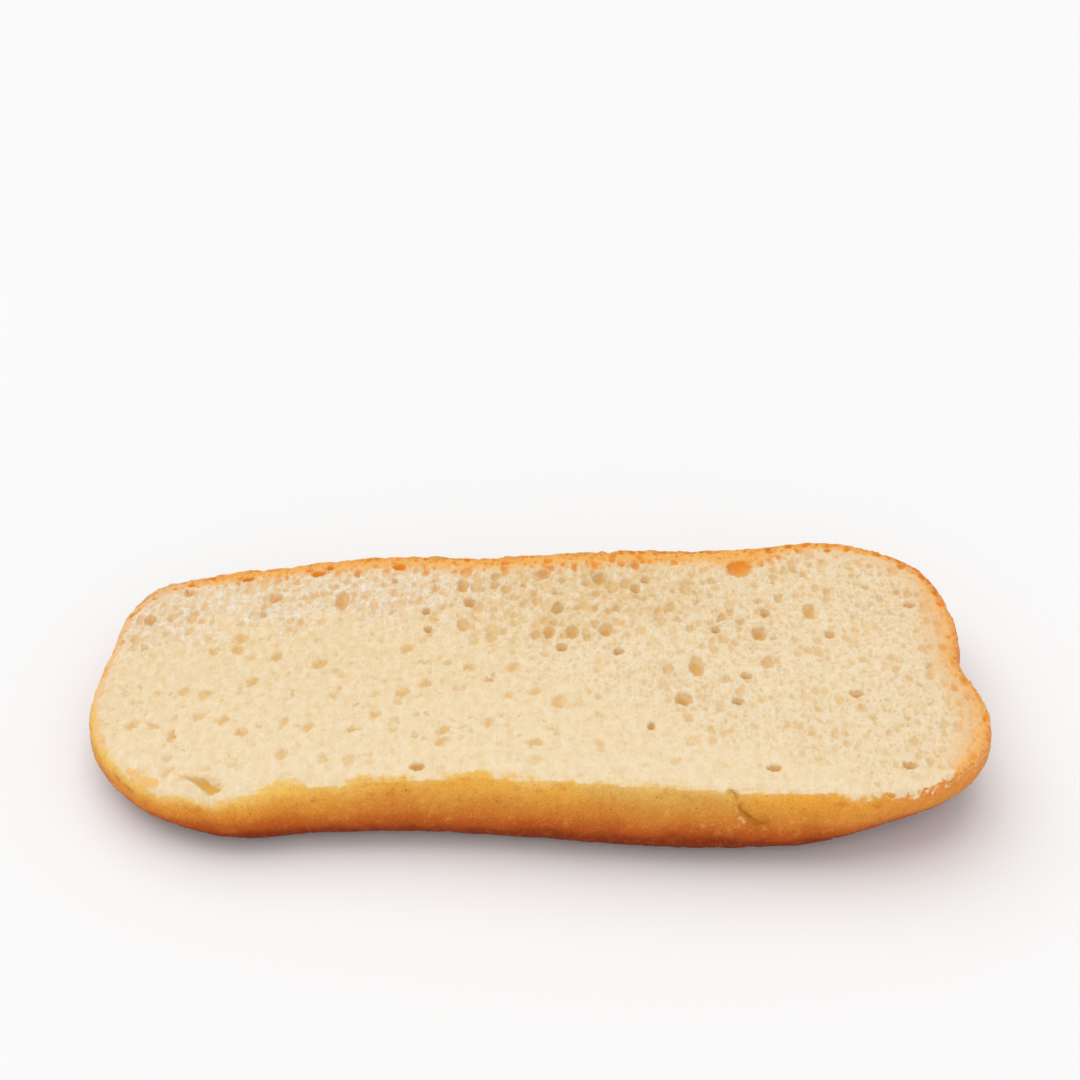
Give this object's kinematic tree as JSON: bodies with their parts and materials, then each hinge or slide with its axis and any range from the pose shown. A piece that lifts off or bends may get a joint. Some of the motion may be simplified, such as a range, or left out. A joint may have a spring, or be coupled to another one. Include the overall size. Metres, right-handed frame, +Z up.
{
  "type": "ciabatta half",
  "caption": "Half of a ciabatta loaf, sliced lengthwise and lying on its bottom crust with the open crumb facing up.",
  "frame": {"origin": "on the surface the half rests on, under the middle of its bounding box", "axes": "+X along the loaf towards the end with the notch, +Y towards the straighter long edge behind, +Z up out of the cut face"},
  "size_m": [0.2484, 0.1144, 0.0247],
  "materials": {
    "baked_bread": "matte cream crumb with open cells on the cut face, satin golden to brown crust around and below"
  },
  "bodies": {
    "root": {"ciabatta_half": "baked_bread"}
  },
  "joints": []
}
